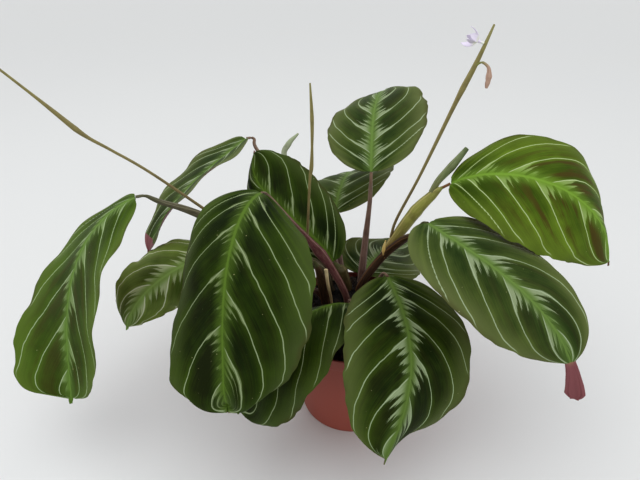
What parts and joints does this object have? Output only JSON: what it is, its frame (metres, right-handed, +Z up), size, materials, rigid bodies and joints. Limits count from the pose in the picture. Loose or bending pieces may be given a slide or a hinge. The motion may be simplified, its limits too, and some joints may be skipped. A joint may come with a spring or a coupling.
{
  "type": "potted prayer plant",
  "caption": "Potted prayer plant with broad pale-veined leaves that arch out of a tapered round nursery pot, with thin flower stalks.",
  "frame": {"origin": "middle of the flat underside of the pot", "axes": "+Z up, +X to the side of the young upright leaf, and -Y towards the side where the large leaves hang over the rim"},
  "size_m": [0.4175, 0.2657, 0.27],
  "materials": {
    "pot_plastic": "matte",
    "peat": "matte",
    "leaf": "satin",
    "young_leaf": "satin",
    "purple_stalk": "satin",
    "olive_stalk": "satin",
    "brown_stalk": "matte",
    "rolled_leaf": "satin",
    "petal": "satin",
    "withered_petal": "matte",
    "dry_stem": "matte"
  },
  "bodies": {
    "root": {"pot": "pot_plastic", "soil": "peat", "leaf_far_left": "leaf", "leaf_upper_left": "leaf", "leaf_middle_left": "leaf", "leaf_front_left": "leaf", "leaf_back_left": "leaf", "leaf_over_pot": "leaf", "leaf_front": "leaf", "leaf_right": "leaf", "leaf_upper_right": "young_leaf", "leaf_top": "leaf", "leaf_back": "leaf", "leaf_low_right": "leaf", "stalk_far_left": "purple_stalk", "stalk_upper_left": "purple_stalk", "stalk_middle_left": "purple_stalk", "stalk_front_left": "purple_stalk", "stalk_back_left": "olive_stalk", "stalk_over_pot": "purple_stalk", "stalk_front": "purple_stalk", "stalk_right": "brown_stalk", "stalk_upper_right": "olive_stalk", "stalk_top": "purple_stalk", "stalk_back": "purple_stalk", "stalk_low_right": "purple_stalk", "new_leaf_right": "rolled_leaf", "new_leaf_back": "rolled_leaf", "flower_stalk_left": "olive_stalk", "flower_stalk_centre": "olive_stalk", "flower_stalk_right": "olive_stalk", "old_sheath": "brown_stalk", "dry_stub": "dry_stem", "flower": "petal", "withered_flower": "withered_petal"}
  },
  "joints": []
}
